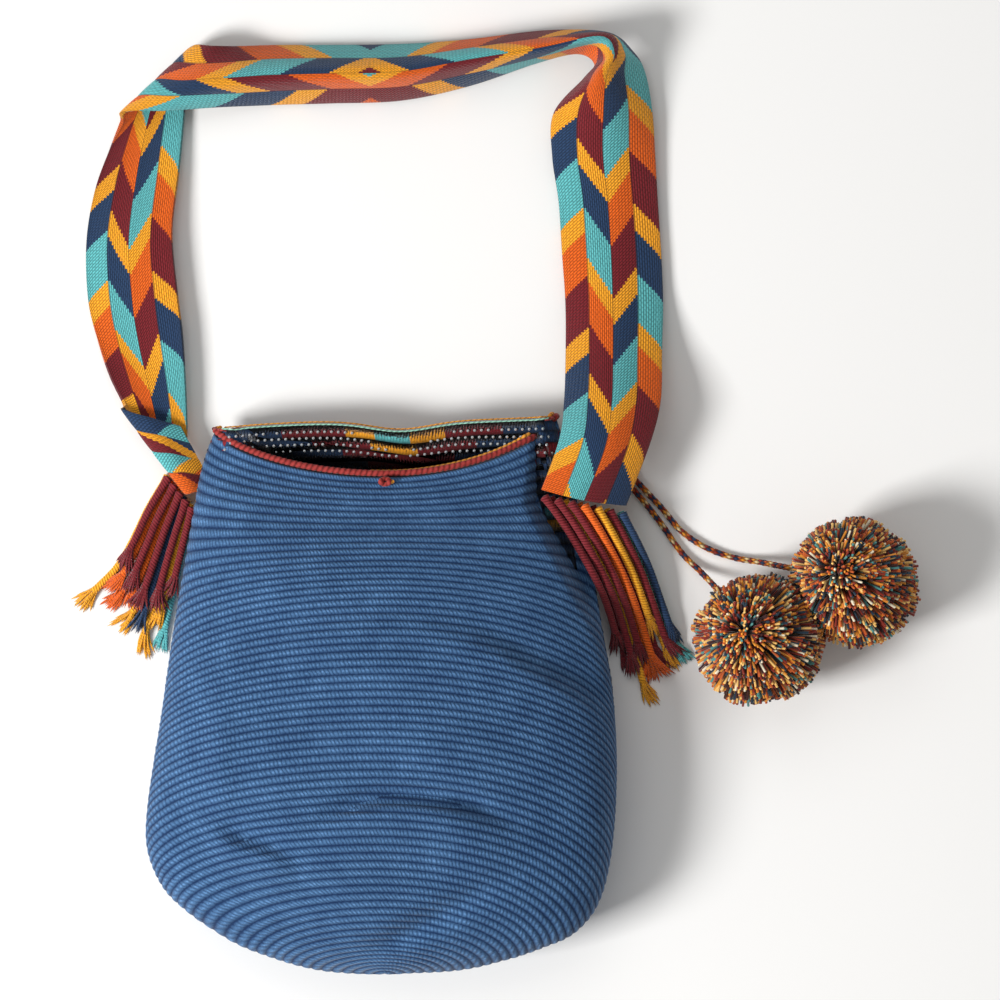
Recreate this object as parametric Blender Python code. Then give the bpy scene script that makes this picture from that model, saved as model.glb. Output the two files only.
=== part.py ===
"""Crocheted Wayuu mochila bag with a woven shoulder strap, fringes and a drawstring with two pompoms.

The bag lies on its back. Row frame: +X across the bag, +Y from the base towards the strap, +Z up.
The origin is the middle of the flat underside. Lengths in the tables are millimetres.
"""
import math

import bmesh
import bpy
from mathutils import Vector

# ---- driving sizes -------------------------------------------------------
MM = 0.001                # the tables are in millimetres, the scene in metres
BAG_WALL = 4.0            # one layer of tight crochet
BODY_STEPS_AROUND = 56    # facets round a crochet round
BODY_STEPS_LONG = 30      # facets from the base centre to the rim
RIM_CORD = 5.6            # diameter of the crocheted edging
KNOT = 8.0                # width of the finishing knot
KNOT_AT = (0.5, 143.5, 50.2)
STRAP_THICK = 3.0         # woven band
STRAP_STEPS = 3           # facets between two stations of the strap
FRINGE_CORD = 4.2         # diameter of one twisted warp end
DRAW_CORD = 4.3           # diameter of the braided drawstring
POMPOM_A = 38.5           # radius
POMPOM_B = 38.0           # radius
CLEAR = 0.4               # air between two pieces

# ---- outline of the pouch: y, left x, right x ----------------------------
OUTLINE = [
    (-151.5, -4, 4), (-151, -21, 14), (-150, -33, 36), (-148, -45, 52),
    (-144, -60, 69), (-141, -69, 80), (-135, -85, 97), (-131, -93, 107),
    (-126, -101, 115), (-115, -117, 125), (-102, -131, 131), (-85, -140, 135),
    (-70, -143, 137), (-50, -142, 138.5), (-25, -138.5, 139), (0, -134.5, 138),
    (25, -131, 135.5), (50, -127.5, 131), (75, -123.5, 127), (100, -119.5, 122),
    (125, -115.5, 117), (145, -112, 112), (160, -108, 108.5), (173, -103, 105.5),
    (181, -100, 103),
]
# height of the middle of the front skin: y, z
CROWN = [
    (-151.5, 42), (-144, 60), (-132, 74), (-108, 87), (-78, 92), (-48, 92),
    (12, 88), (72, 78), (102, 68), (132, 53), (146, 45), (185, 36),
]
# height of the widest line of the pouch: y, z
FLANK = [(-151.5, 42), (-110, 36), (-50, 32), (50, 28), (110, 22), (145, 18), (181, 14)]


def curve_at(table, x, column=1):
    """Smooth reading of a table, with slopes taken from the neighbours."""
    n = len(table)
    if x <= table[0][0]:
        return table[0][column]
    if x >= table[-1][0]:
        return table[-1][column]
    i = next(k for k in range(n - 1) if table[k + 1][0] >= x)
    x0, x1 = table[i][0], table[i + 1][0]
    y0, y1 = table[i][column], table[i + 1][column]
    h = x1 - x0

    def slope(k):
        a, b = max(k - 1, 0), min(k + 1, n - 1)
        return (table[b][column] - table[a][column]) / (table[b][0] - table[a][0])

    t = (x - x0) / h
    m0, m1 = slope(i) * h, slope(i + 1) * h
    return (
        (2 * t**3 - 3 * t**2 + 1) * y0 + (t**3 - 2 * t**2 + t) * m0
        + (-2 * t**3 + 3 * t**2) * y1 + (t**3 - t**2) * m1
    )


# near the base the outline turns quickly, so it is read over the root of the height
ROOTED = [(math.sqrt(y + 151.5), l, r) for y, l, r in OUTLINE]


def outline_at(y):
    w = math.sqrt(max(y + 151.5, 0.0))
    return curve_at(ROOTED, w, 1), curve_at(ROOTED, w, 2)


def ramp(x):
    x = min(max(x, 0.0), 1.0)
    return x * x * (3 - 2 * x)


def inside(x, y):
    """1 on the middle line of the pouch, 0 on its outline."""
    left, right = outline_at(y)
    mid, half = (left + right) / 2, max((right - left) / 2, 0.5)
    return math.sqrt(max(0.0, 1 - ((x - mid) / half) ** 2))


def crease(x, y):
    """0 on the open front, 1 in the hollow on its right that the strap end presses in."""
    if y > 130:
        edge = 91 + (y - 130) * 0.11
    else:
        edge = 91 + (130 - y) * 0.53
    return ramp((x - edge + 9) / 14) * ramp((y - 20) / 60)


def front_z(x, y):
    flank, crown = curve_at(FLANK, y), curve_at(CROWN, y)
    z = flank + (crown - flank) * inside(x, y) ** 0.72
    z -= 7 * math.exp(-(((x + 72) / 34) ** 2) - ((y + 80) / 9) ** 2)
    z -= 6 * math.exp(-(((x - 24) / 30) ** 2) - ((y + 54) / 8) ** 2)
    z -= 5 * math.exp(-(((x - 12) / 34) ** 2) - ((y - 120) / 13) ** 2)
    low = min(z, flank + 5)
    return z + (low - z) * crease(x, y)


def back_z(x, y):
    rise = ramp(inside(x, y) / 0.55) * ramp((y + 151.5) / 26)
    return curve_at(FLANK, y) * (1 - rise)


def along(points, s):
    """Point at length s of a polyline."""
    for a, b in zip(points, points[1:]):
        step = math.dist(a, b)
        if s <= step or b is points[-1]:
            t = min(s / step, 1.0)
            return a[0] + (b[0] - a[0]) * t, a[1] + (b[1] - a[1]) * t
        s -= step


def flank_line(side):
    ys = [-151.5 + 0.02 * k * k for k in range(0, 200)]
    top = 173 if side == 1 else 181
    points = [(0.0, -151.5)]
    for y in ys[1:]:
        if y < top:
            points.append((outline_at(y)[side - 1], y))
    points.append((outline_at(top)[side - 1], float(top)))
    return points


LEFT_LINE, RIGHT_LINE = flank_line(1), flank_line(2)
LEFT_LONG = sum(math.dist(a, b) for a, b in zip(LEFT_LINE, LEFT_LINE[1:]))
RIGHT_LONG = sum(math.dist(a, b) for a, b in zip(RIGHT_LINE, RIGHT_LINE[1:]))
# round number, run along the left and right flank lines, y of the front middle, y of the back middle
ROUNDS = [
    (0, 0, 0, -151.5, -151.5), (8, 52, 50, -132, -138), (14, 90, 90, -108, -110),
    (20, 142, 127, -80, -82), (28, 183, 172, -41, -44), (37, 230, 221, 2, 0),
    (52.5, 297, 288, 72, 74), (60, 343, 338, 100, 110), (67, 391, 394, 125, 146),
    (73, 425, 437, 146, 178),
]
ROUND_COUNT = 73


def skin(around, v, inset=0.0):
    """Point of the skin, inset inwards. around runs 0..1 over the front from left to right, then 1..2 over the back."""
    phi = math.pi * (around if around <= 1 else 2 - around)
    n = v * ROUND_COUNT
    lx, ly = along(LEFT_LINE, curve_at(ROUNDS, n, 1) / 425 * LEFT_LONG)
    rx, ry = along(RIGHT_LINE, curve_at(ROUNDS, n, 2) / 437 * RIGHT_LONG)
    front = around <= 1
    my = curve_at(ROUNDS, n, 3 if front else 4)
    c, s = math.cos(phi), math.sin(phi)
    mx = (lx + rx) / 2 * (1 if v > 0.3 else v / 0.3)
    sx, sy = (lx, ly) if c > 0 else (rx, ry)
    x = mx + (sx - mx) * abs(c)
    y = sy + (my - sy) * s ** (1.0 + 0.5 * ramp((v - 0.75) / 0.25))
    z = front_z(x, y) if front else back_z(x, y)
    away = ramp((y + 151.5) / 26)
    z += inset * away * (-ramp(inside(x, y) / 0.4) if front else ramp(inside(x, y) / 0.55))
    return x * (1 - inset / 139), 165 - (165 - y) * (1 - inset / 316), z


# ---- helpers ------------------------------------------------------------------
def paint(obj, name, colour, rough=0.85):
    mat = bpy.data.materials.get(name) or bpy.data.materials.new(name)
    mat.use_nodes = True
    shader = mat.node_tree.nodes["Principled BSDF"]
    shader.inputs["Base Color"].default_value = (*colour, 1)
    shader.inputs["Roughness"].default_value = rough
    obj.data.materials.append(mat)


def solid(name, bm, material, colour):
    bmesh.ops.remove_doubles(bm, verts=bm.verts, dist=1e-6)
    bmesh.ops.recalc_face_normals(bm, faces=bm.faces)
    mesh = bpy.data.meshes.new(name)
    bm.to_mesh(mesh)
    bm.free()
    for face in mesh.polygons:
        face.use_smooth = True
    obj = bpy.data.objects.new(name, mesh)
    bpy.context.scene.collection.objects.link(obj)
    paint(obj, material, colour)
    return obj


def cord(name, points, diameter, material, colour, closed=False):
    """Round cord through the points."""
    curve = bpy.data.curves.new(name, "CURVE")
    curve.dimensions = "3D"
    curve.bevel_depth = diameter / 2 * MM
    curve.bevel_resolution = 2
    curve.use_fill_caps = True
    spline = curve.splines.new("POLY")
    spline.points.add(len(points) - 1)
    for point, at in zip(spline.points, points):
        point.co = (at[0] * MM, at[1] * MM, at[2] * MM, 1)
    spline.use_cyclic_u = closed
    spline.use_smooth = True
    obj = bpy.data.objects.new(name, curve)
    bpy.context.scene.collection.objects.link(obj)
    paint(obj, material, colour)
    return obj


def smooth_line(points, steps):
    """Catmull-Rom line through the points."""
    out = []
    for i in range(len(points) - 1):
        p0, p1 = points[max(i - 1, 0)], points[i]
        p2, p3 = points[i + 1], points[min(i + 2, len(points) - 1)]
        for k in range(steps):
            t = k / steps
            out.append(tuple(
                0.5 * (2 * b + (c - a) * t + (2 * a - 5 * b + 4 * c - d) * t * t + (3 * b - a - 3 * c + d) * t**3)
                for a, b, c, d in zip(p0, p1, p2, p3)
            ))
    out.append(tuple(points[-1]))
    return out


# ---- pieces -----------------------------------------------------------------------
def make_body():
    bm = bmesh.new()
    rims = []
    for inset in (0.0, BAG_WALL):
        pole = bm.verts.new(Vector(skin(0.5, 0.0, inset)) * MM)
        previous = None
        for j in range(1, BODY_STEPS_LONG + 1):
            ring = [bm.verts.new(Vector(skin(2.0 * k / BODY_STEPS_AROUND, j / BODY_STEPS_LONG, inset)) * MM)
                    for k in range(BODY_STEPS_AROUND)]
            for k in range(BODY_STEPS_AROUND):
                m = (k + 1) % BODY_STEPS_AROUND
                if previous is None:
                    bm.faces.new((pole, ring[k], ring[m]))
                else:
                    bm.faces.new((previous[k], ring[k], ring[m], previous[m]))
            previous = ring
        rims.append(previous)
    for k in range(BODY_STEPS_AROUND):
        m = (k + 1) % BODY_STEPS_AROUND
        bm.faces.new((rims[0][k], rims[0][m], rims[1][m], rims[1][k]))
    return solid("bag_body", bm, "crochet_blue", (0.05, 0.13, 0.28))


def rim_line(count, out):
    """Line that runs round the mouth, out millimetres past the middle of its edge."""
    line = []
    for k in range(count):
        a = 2.0 * k / count
        edge, inner, below = Vector(skin(a, 1.0)), Vector(skin(a, 1.0, BAG_WALL)), Vector(skin(a, 0.97))
        wide = (Vector(skin((a + 0.02) % 2, 1.0)) - Vector(skin((a - 0.02) % 2, 1.0))).normalized()
        ahead = edge - below
        ahead = (ahead - wide * ahead.dot(wide)).normalized()
        p = (edge + inner) / 2 + ahead * out
        line.append((p.x, p.y, max(p.z, RIM_CORD / 2 + 0.1)))
    return line


# inner edge, middle, outer edge of the strap, from the right root to the left one
STRAP = [
    ((94, 138, 42), (119, 132, 42), (144, 129, 30)),
    ((105, 168, 40), (132, 165, 45), (159, 168, 34)),
    ((108, 192, 30), (136, 192, 36), (165, 192, 26)),
    ((109, 222, 16), (137, 222, 22), (166, 222, 14)),
    ((109, 252, 8), (137, 252, 13), (167, 252, 6)),
    ((107, 282, 6), (136, 282, 11), (166, 282, 5)),
    ((105, 312, 6), (134, 312, 12), (164, 312, 5)),
    ((101, 340, 9), (131, 340, 17), (162, 340, 6)),
    ((104, 364, 20), (130, 366, 30), (159, 368, 8)),
    ((111, 382, 26), (129, 388, 37), (154, 392, 8)),
    ((107, 395, 22), (117, 400, 36), (138, 409, 6)),
    ((88, 394, 10), (94, 402, 34), (106, 414, 5)),
    ((50, 384, 3), (50, 396, 31), (50, 410, 3)),
    ((9, 375, 3), (9, 389, 30), (9, 407, 3)),
    ((-33, 373, 3), (-33, 388, 29), (-33, 406, 3)),
    ((-70, 372, 5), (-69, 387, 28), (-68, 406, 4)),
    ((-104, 370, 15), (-98, 385, 28), (-90, 405, 14)),
    ((-134, 367, 19), (-121, 384, 24), (-105, 405, 19)),
    ((-158, 366, 14), (-137, 385, 15), (-115, 405, 14)),
    ((-160, 360, 6), (-140, 378, 6), (-120, 398, 6)),
    ((-167, 345, 3), (-146, 352, 4), (-122, 366, 5)),
    ((-176, 320, 4), (-151, 324, 6), (-125, 332, 8)),
    ((-181, 288, 4), (-155, 288, 10), (-129, 294, 12)),
    ((-180, 252, 4), (-153, 252, 9), (-126, 258, 12)),
    ((-174, 228, 6), (-149, 226, 8), (-123, 234, 12)),
    ((-166, 206, 11), (-143, 200, 10), (-121, 205, 12)),
    ((-158, 190, 13), (-138, 176, 12), (-120, 172, 12)),
    ((-158, 187, 17), (-140, 165, 16), (-121, 143, 15)),
    ((-150, 186, 23), (-134, 163, 22), (-118, 141, 21)),
    ((-131, 180, 27), (-123, 160, 26), (-114, 141, 24)),
]


def strap_rows(steps):
    rails = [smooth_line([s[k] for s in STRAP], steps) for k in range(3)]
    rows = []
    for inner, mid, outer in zip(*rails):
        i, m, o = Vector(inner), Vector(mid), Vector(outer)
        bulge = (m - (i + o) / 2) * 0.18
        rows.append((i, (i + m) / 2 + bulge, m, (m + o) / 2 + bulge, o))
    return rows


def make_strap():
    rows = strap_rows(STRAP_STEPS)
    bm = bmesh.new()
    rings = []
    for j, row in enumerate(rows):
        before, after = rows[max(j - 1, 0)], rows[min(j + 1, len(rows) - 1)]
        top, bottom = [], []
        for k, p in enumerate(row):
            wide = row[min(k + 1, 4)] - row[max(k - 1, 0)]
            normal = wide.cross(after[k] - before[k]).normalized()
            top.append(bm.verts.new((p + normal * STRAP_THICK / 2) * MM))
            bottom.append(bm.verts.new((p - normal * STRAP_THICK / 2) * MM))
        rings.append(top + bottom[::-1])
    for r, q in zip(rings, rings[1:]):
        for k in range(10):
            bm.faces.new((r[k], r[(k + 1) % 10], q[(k + 1) % 10], q[k]))
    for end in (rings[0], rings[-1]):
        for k in range(4):
            bm.faces.new((end[k], end[k + 1], end[8 - k], end[9 - k]))
    return solid("strap", bm, "strap_weave", (0.42, 0.09, 0.03))


def make_pompom(name, centre, radius, cut, toward):
    """Ball of cut yarn, flat where it rests and where it meets its neighbour."""
    bm = bmesh.new()
    bmesh.ops.create_icosphere(bm, subdivisions=3, radius=radius * MM)
    bmesh.ops.translate(bm, verts=bm.verts, vec=Vector(centre) * MM)
    planes = [(Vector((centre[0], centre[1], 0.0)), Vector((0, 0, -1)))]
    way = Vector(toward) - Vector(centre)
    planes.append((Vector(centre) + way.normalized() * cut, way.normalized()))
    for point, normal in planes:
        everything = bm.verts[:] + bm.edges[:] + bm.faces[:]
        bmesh.ops.bisect_plane(bm, geom=everything, plane_co=point * MM, plane_no=normal, clear_outer=True, dist=1e-7)
        edges = [e for e in bm.edges if e.is_boundary]
        bmesh.ops.edgeloop_fill(bm, edges=edges)
    return solid(name, bm, "pompom_yarn", (0.35, 0.12, 0.05))


def make_knot():
    """Small knot that ends the edging, in front of the middle of the mouth."""
    bm = bmesh.new()
    bmesh.ops.create_icosphere(bm, subdivisions=2, radius=KNOT / 2 * MM)
    bmesh.ops.scale(bm, vec=(1.0, 0.85, 0.75), verts=bm.verts)
    bmesh.ops.translate(bm, verts=bm.verts, vec=Vector(KNOT_AT) * MM)
    solid("edging_knot", bm, "edging_maroon", (0.33, 0.03, 0.03))


PURSE = {
    "maroon": (0.16, 0.007, 0.013), "orange": (0.8, 0.1, 0.004), "amber": (0.91, 0.38, 0.008),
    "navy": (0.023, 0.05, 0.11), "turquoise": (0.08, 0.52, 0.53),
}


def over_body(x, y):
    """Height of the cushion a loose cord lies on: the front skin, then a slope down to the table."""
    left, right = outline_at(y)
    if left < x < right:
        return front_z(x, y)
    away = (left - x) if x <= left else (x - right)
    return (curve_at(FLANK, y) + 5) * max(0.0, 1 - away / 42)


# edges of the two fans of warp ends, in equal steps away from the strap
LEFT_FAN = (
    [(-131.5, 147), (-143.5, 127.5), (-153, 108), (-163, 91), (-178, 76)],
    [(-116.8, 128), (-122.5, 105), (-128, 82), (-133.5, 57), (-140, 32)],
)
RIGHT_FAN = (
    [(95, 134.5), (107, 118), (119, 98), (130.5, 76), (138, 54), (143, 33), (147, 12)],
    [(142, 124.5), (151, 108), (159, 91), (165.5, 73), (172, 55), (179, 38), (186, 22)],
)
# layer, lane across the fan, length in steps of the fan, colour
LEFT_FRINGE = [
    (0, 0.00, 3.95, "amber"), (0, 0.25, 3.30, "orange"), (0, 0.50, 3.45, "amber"),
    (0, 0.75, 3.55, "amber"), (0, 1.00, 3.10, "turquoise"),
    (1, 0.13, 3.00, "orange"), (1, 0.38, 2.95, "orange"), (1, 0.63, 3.20, "navy"),
    (1, 0.88, 2.75, "amber"),
    (2, 0.04, 2.30, "maroon"), (2, 0.28, 2.60, "maroon"), (2, 0.52, 2.75, "maroon"),
    (2, 0.76, 2.45, "maroon"), (2, 1.00, 1.90, "maroon"),
]
RIGHT_FRINGE = [
    (0, 0.08, 4.55, "maroon"), (0, 0.26, 5.60, "amber"), (0, 0.44, 5.00, "orange"),
    (0, 0.61, 4.70, "maroon"), (0, 0.79, 4.75, "amber"), (0, 0.97, 4.55, "turquoise"),
    (1, 0.00, 4.10, "maroon"), (1, 0.17, 4.75, "maroon"), (1, 0.34, 4.45, "maroon"),
    (1, 0.51, 4.90, "orange"), (1, 0.68, 3.70, "amber"), (1, 0.84, 4.35, "maroon"),
    (1, 1.00, 3.95, "navy"),
]


def fan_line(fan, lane, length, height, steps=10):
    """Route of one warp end. height(x, y, t) is its centre above the table."""
    points = []
    for i in range(steps + 1):
        t = length * i / steps
        sides = []
        for edge in fan:
            dense = smooth_line(edge, 20)
            q = min(t * 20, len(dense) - 1.001)
            a, b, w = dense[int(q)], dense[int(q) + 1], q % 1
            sides.append((a[0] + (b[0] - a[0]) * w, a[1] + (b[1] - a[1]) * w))
        x = sides[0][0] + (sides[1][0] - sides[0][0]) * lane
        y = sides[0][1] + (sides[1][1] - sides[0][1]) * lane
        points.append((x, y, height(x, y, t)))
    return points


def left_route(layer, lane, length):
    return fan_line(LEFT_FAN, lane, length, lambda x, y, t: 2.5 + 4.6 * layer)


def right_route(layer, lane, length):
    """Over the flank of the pouch, then down to the table."""
    start = 42 - 12 * ramp((lane - 0.45) / 0.55) if layer else 35.5 - 13 * ramp((lane - 0.4) / 0.6)

    def height(x, y, t):
        under = over_body(x, y)
        if x > outline_at(y)[1]:
            under *= 1 - ramp((t - 2.4) / 2.0)
        lie = under + 2.4 + 1.6 * ramp(under / 6) + (5.0 + 0.9 * ramp(under / 6)) * layer
        return lie + (max(start, lie) - lie) * (1 - ramp(t / 2.0))
    return fan_line(RIGHT_FAN, lane, length, height, 12)


DRAW_A = [(117, 148, 18), (128, 149, 13), (139, 146, 5.5), (148, 140, 2.6), (157, 130, 2.3), (167, 117, 2.3), (179, 100, 2.3), (189, 90, 4.5), (197, 81.5, 13), (201.2, 76.4, 20)]
DRAW_B = [(119, 154, 18), (130, 156, 14), (142, 152, 6), (151, 144, 2.6), (160, 134.5, 2.3), (167, 127, 2.3), (179, 113, 2.3), (194, 103, 2.3), (211, 97, 2.4), (226, 94.5, 6), (236, 92.5, 15), (242.6, 91.3, 24)]
BALL_A, BALL_B = (224.4, 48.6, 37.0), (281.0, 82.2, 36.5)


def main():
    for obj in list(bpy.data.objects):
        bpy.data.objects.remove(obj)
    make_body()
    cord("rim_edging", rim_line(72, RIM_CORD / 2 + 1.4), RIM_CORD, "edging_maroon", (0.33, 0.03, 0.03), closed=True)
    make_knot()
    make_strap()
    for side, table, route in (("left", LEFT_FRINGE, left_route), ("right", RIGHT_FRINGE, right_route)):
        for n, (layer, lane, length, colour) in enumerate(table, 1):
            cord(f"fringe_{side}_{n:02d}", route(layer, lane, length), FRINGE_CORD, "fringe_" + colour, PURSE[colour])
    cord("drawstring_cord_a", smooth_line(DRAW_A, 2), DRAW_CORD, "cord_braid", (0.3, 0.08, 0.04))
    cord("drawstring_cord_b", smooth_line(DRAW_B, 2), DRAW_CORD, "cord_braid", (0.3, 0.08, 0.04))
    gap = math.dist(BALL_A, BALL_B)
    share = (gap * gap + POMPOM_A**2 - POMPOM_B**2) / (2 * gap)
    make_pompom("pompom_a", BALL_A, POMPOM_A, share + 3 - CLEAR / 2, BALL_B)
    make_pompom("pompom_b", BALL_B, POMPOM_B, gap - share - 3 - CLEAR / 2, BALL_A)


main()
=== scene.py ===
"""Looks of a crocheted Wayuu mochila bag that lies on its back, with its woven strap laid out past the mouth.

Lengths are in millimetres unless they carry MM, which turns them into metres.
"""
import math
import random

import bmesh
import bpy
import numpy as np
from bpy.props import FloatProperty, FloatVectorProperty, IntProperty, PointerProperty
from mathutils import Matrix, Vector


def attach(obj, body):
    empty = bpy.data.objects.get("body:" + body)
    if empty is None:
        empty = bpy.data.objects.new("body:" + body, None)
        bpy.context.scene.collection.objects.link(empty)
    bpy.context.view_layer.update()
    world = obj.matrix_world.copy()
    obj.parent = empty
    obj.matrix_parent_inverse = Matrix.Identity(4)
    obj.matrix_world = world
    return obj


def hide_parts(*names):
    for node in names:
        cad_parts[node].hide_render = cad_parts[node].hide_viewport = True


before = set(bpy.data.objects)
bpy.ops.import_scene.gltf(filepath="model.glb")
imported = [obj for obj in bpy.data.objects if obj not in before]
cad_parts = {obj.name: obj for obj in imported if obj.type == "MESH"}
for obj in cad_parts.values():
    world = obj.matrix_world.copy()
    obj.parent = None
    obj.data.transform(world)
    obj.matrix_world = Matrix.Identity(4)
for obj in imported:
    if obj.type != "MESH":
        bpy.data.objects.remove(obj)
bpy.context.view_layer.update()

bl_info = {
    "name": "Mochila Bag",
    "version": (1, 0, 0),
    "blender": (4, 5, 0),
    "location": "View3D > Sidebar > Mochila",
    "description": "Crocheted pouch, woven strap, fringes, drawstring and pompoms",
    "category": "Add Mesh",
}

MM = 0.001


def linear(code):
    """sRGB hex to the linear colour that a shader takes."""
    parts = [int(code[i : i + 2], 16) / 255 for i in (1, 3, 5)]
    return tuple(c / 12.92 if c <= 0.04045 else ((c + 0.055) / 1.055) ** 2.4 for c in parts)


# yarn colours of the strap, the fringes and the edging
MAROON, ORANGE, AMBER = linear("#731a22"), linear("#de5f14"), linear("#ee9f22")
NAVY, TURQUOISE = linear("#20395a"), linear("#5cb0b2")
YARNS = {"maroon": MAROON, "orange": ORANGE, "amber": AMBER, "navy": NAVY, "turquoise": TURQUOISE}

# pattern inside the mouth: its middle as a share of the way round, then in millimetres the way round, the slope
# of its steps, the height of one round and the depth of the whole pattern
BAND_MIDDLE, BAND_AROUND, BAND_SLOPE, BAND_ROUND, BAND_DEPTH = 0.737, 412, 0.235, 3.7, 57.0
# strap weave, in millimetres: distance between warp yarns, width of one step in a slanted colour edge,
# and where the first run of colours starts
WARP_GAP, STEP, RUN_START = 1.35, 1.55, 265.0
# where the run of colours starts at the near and the far edge of each lane, and the length of one such unit
LANE_STARTS, LANE_UNIT = [(100, -20), (240, 440), (-160, -330), (-630, -480)], 0.12245
# length of one diamond of the braid
BRAID_PITCH = 4.4


# ---- sizes and colours a user changes -------------------------------------------------
class MochilaPouch(bpy.types.PropertyGroup):
    wall: FloatProperty(
        name="Wall", description="Thickness of one layer of tight crochet", default=4 * MM, min=1 * MM,
        max=8 * MM, unit="LENGTH",
    )
    round_relief: FloatProperty(
        name="Round relief", description="How far a crochet round stands out of the groove beside it",
        default=0.6 * MM, min=0, max=3 * MM, unit="LENGTH",
    )
    stitches: IntProperty(name="Stitches", description="Stitches in one round", default=240, min=40, max=400)
    yarn: FloatVectorProperty(
        name="Yarn", description="Blue of the crochet yarn", default=linear("#456a93"), size=3, min=0, max=1,
        subtype="COLOR",
    )
    # painted shade: the blue that the crochet shader paints into the grooves between rounds
    groove_shade: FloatVectorProperty(
        name="Groove", description="Blue between two rounds", default=linear("#0f2c52"), size=3, min=0, max=1,
        subtype="COLOR",
    )
    edging: FloatProperty(
        name="Edging", description="Diameter of one crocheted edging round", default=3.6 * MM, min=1 * MM,
        max=8 * MM, unit="LENGTH",
    )
    stud: FloatProperty(
        name="Stud", description="Diameter of one bright stud on the patterned band", default=2.0 * MM,
        min=0.5 * MM, max=5 * MM, unit="LENGTH",
    )


class MochilaStrap(bpy.types.PropertyGroup):
    thickness: FloatProperty(
        name="Thickness", description="Thickness of the woven band", default=2.6 * MM, min=1 * MM, max=6 * MM,
        unit="LENGTH",
    )
    cycle: FloatProperty(
        name="Pattern length", description="Length of one run of the six colours", default=147 * MM,
        min=40 * MM, max=400 * MM, unit="LENGTH",
    )
    stitch: FloatProperty(
        name="Stitch", description="Length of one warp float", default=3 * MM, min=2 * MM, max=12 * MM,
        unit="LENGTH",
    )


class MochilaCords(bpy.types.PropertyGroup):
    fringe: FloatProperty(
        name="Fringe cord", description="Diameter of one twisted warp end", default=4.2 * MM, min=1 * MM,
        max=10 * MM, unit="LENGTH",
    )
    drawstring: FloatProperty(
        name="Drawstring", description="Diameter of the braided drawstring", default=3.9 * MM, min=1 * MM,
        max=10 * MM, unit="LENGTH",
    )
    ball_a: FloatProperty(
        name="Near pompom", description="Radius of the pompom nearer the base", default=38.5 * MM,
        min=10 * MM, max=80 * MM, unit="LENGTH",
    )
    ball_b: FloatProperty(
        name="Far pompom", description="Radius of the other pompom", default=38 * MM, min=10 * MM,
        max=80 * MM, unit="LENGTH",
    )
    strands: IntProperty(
        name="Strands", description="Cut yarn ends on one pompom, taken to a power of two", default=4096,
        min=256, max=4096,
    )
    strand: FloatProperty(
        name="Strand", description="Diameter of one cut yarn end", default=1.5 * MM, min=0.3 * MM, max=4 * MM,
        unit="LENGTH",
    )


class MochilaStage(bpy.types.PropertyGroup):
    floor: FloatVectorProperty(
        name="Floor", description="Colour of the plain floor", default=linear("#f1f0ee"), size=3, min=0,
        max=1, subtype="COLOR",
    )
    distance: FloatProperty(
        name="Camera height", description="Height of the camera over the bag", default=3.0, min=0.5, max=10,
        unit="LENGTH",
    )


# ---- shape of the pouch, in millimetres -------------------------------------------------
OUTLINE = [
    (-151.5, -4, 4), (-151, -21, 14), (-150, -33, 36), (-148, -45, 52),
    (-144, -60, 69), (-141, -69, 80), (-135, -85, 97), (-131, -93, 107),
    (-126, -101, 115), (-115, -117, 125), (-102, -131, 131), (-85, -140, 135),
    (-70, -143, 137), (-50, -142, 138.5), (-25, -138.5, 139), (0, -134.5, 138),
    (25, -131, 135.5), (50, -127.5, 131), (75, -123.5, 127), (100, -119.5, 122),
    (125, -115.5, 117), (145, -112, 112), (160, -108, 108.5), (173, -103, 105.5),
    (181, -100, 103),
]
CROWN = [
    (-151.5, 42), (-144, 60), (-132, 74), (-108, 87), (-78, 92), (-48, 92),
    (12, 88), (72, 78), (102, 68), (132, 53), (146, 45), (185, 36),
]
FLANK = [(-151.5, 42), (-110, 36), (-50, 32), (50, 28), (110, 22), (145, 18), (181, 14)]
ROUNDS = [
    (0, 0, 0, -151.5, -151.5), (8, 50, 48, -132, -138), (14, 84, 82, -108, -110),
    (20, 128, 112, -80, -82), (28, 166, 152, -41, -44), (37, 212, 199, 2, 0),
    (52.5, 286, 272, 72, 74), (60, 335, 328, 100, 110), (67, 389, 391, 125, 146),
    (73, 425, 437, 146, 178),
]
ROUND_COUNT = 73


def curve_at(table, x, column=1):
    """Smooth reading of a table, with slopes taken from the neighbours."""
    rows = np.array(table, float)
    xs, ys = rows[:, 0], rows[:, column]
    slope = np.empty_like(ys)
    slope[1:-1] = (ys[2:] - ys[:-2]) / (xs[2:] - xs[:-2])
    slope[0], slope[-1] = (ys[1] - ys[0]) / (xs[1] - xs[0]), (ys[-1] - ys[-2]) / (xs[-1] - xs[-2])
    x = np.clip(np.asarray(x, float), xs[0], xs[-1])
    i = np.clip(np.searchsorted(xs, x) - 1, 0, len(xs) - 2)
    h = xs[i + 1] - xs[i]
    t = (x - xs[i]) / h
    return (
        (2 * t**3 - 3 * t**2 + 1) * ys[i] + (t**3 - 2 * t**2 + t) * slope[i] * h
        + (-2 * t**3 + 3 * t**2) * ys[i + 1] + (t**3 - t**2) * slope[i + 1] * h
    )


ROOTED = [(math.sqrt(y + 151.5), l, r) for y, l, r in OUTLINE]


def outline_at(y):
    w = np.sqrt(np.maximum(np.asarray(y, float) + 151.5, 0.0))
    return curve_at(ROOTED, w, 1), curve_at(ROOTED, w, 2)


def ramp(x):
    x = np.clip(x, 0.0, 1.0)
    return x * x * (3 - 2 * x)


def inside(x, y):
    """1 on the middle line of the pouch, 0 on its outline."""
    left, right = outline_at(y)
    mid, half = (left + right) / 2, np.maximum((right - left) / 2, 0.5)
    return np.sqrt(np.maximum(0.0, 1 - ((x - mid) / half) ** 2))


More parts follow.
